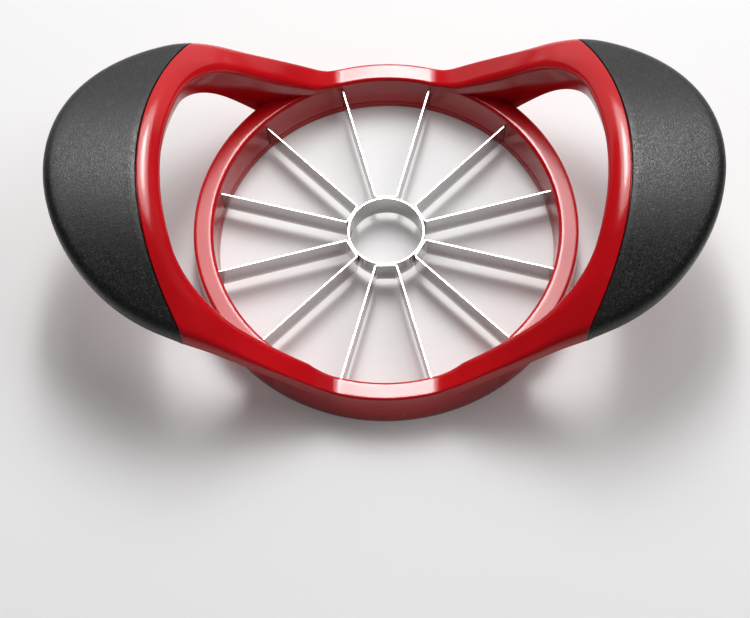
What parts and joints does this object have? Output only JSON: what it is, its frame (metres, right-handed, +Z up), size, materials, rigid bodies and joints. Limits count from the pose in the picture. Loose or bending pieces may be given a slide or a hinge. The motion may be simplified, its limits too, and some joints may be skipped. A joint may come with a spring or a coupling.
{
  "type": "apple slicer and corer",
  "caption": "Two-handed apple slicer: moulded ring with radial steel blades round a core cutter, and raised handles with soft grips.",
  "frame": {"origin": "centre of the ring's base, on the table", "axes": "+X along the two handles, +Y to the back, +Z up, against the cut"},
  "size_m": [0.2082, 0.123, 0.0583],
  "materials": {
    "red_plastic": "gloss",
    "grip_rubber": "matt, finely textured",
    "blade_steel": "brushed",
    "screw_steel": "satin"
  },
  "bodies": {
    "root": {"frame": "red_plastic", "clamp_ring": "red_plastic", "clamp_screws": "screw_steel", "core_ring": "blade_steel", "blade_back_right": "blade_steel", "blade_back": "blade_steel", "blade_back_left": "blade_steel", "blade_front_left": "blade_steel", "blade_front": "blade_steel", "blade_front_right": "blade_steel", "grip_left": "grip_rubber", "grip_right": "grip_rubber"}
  },
  "joints": []
}
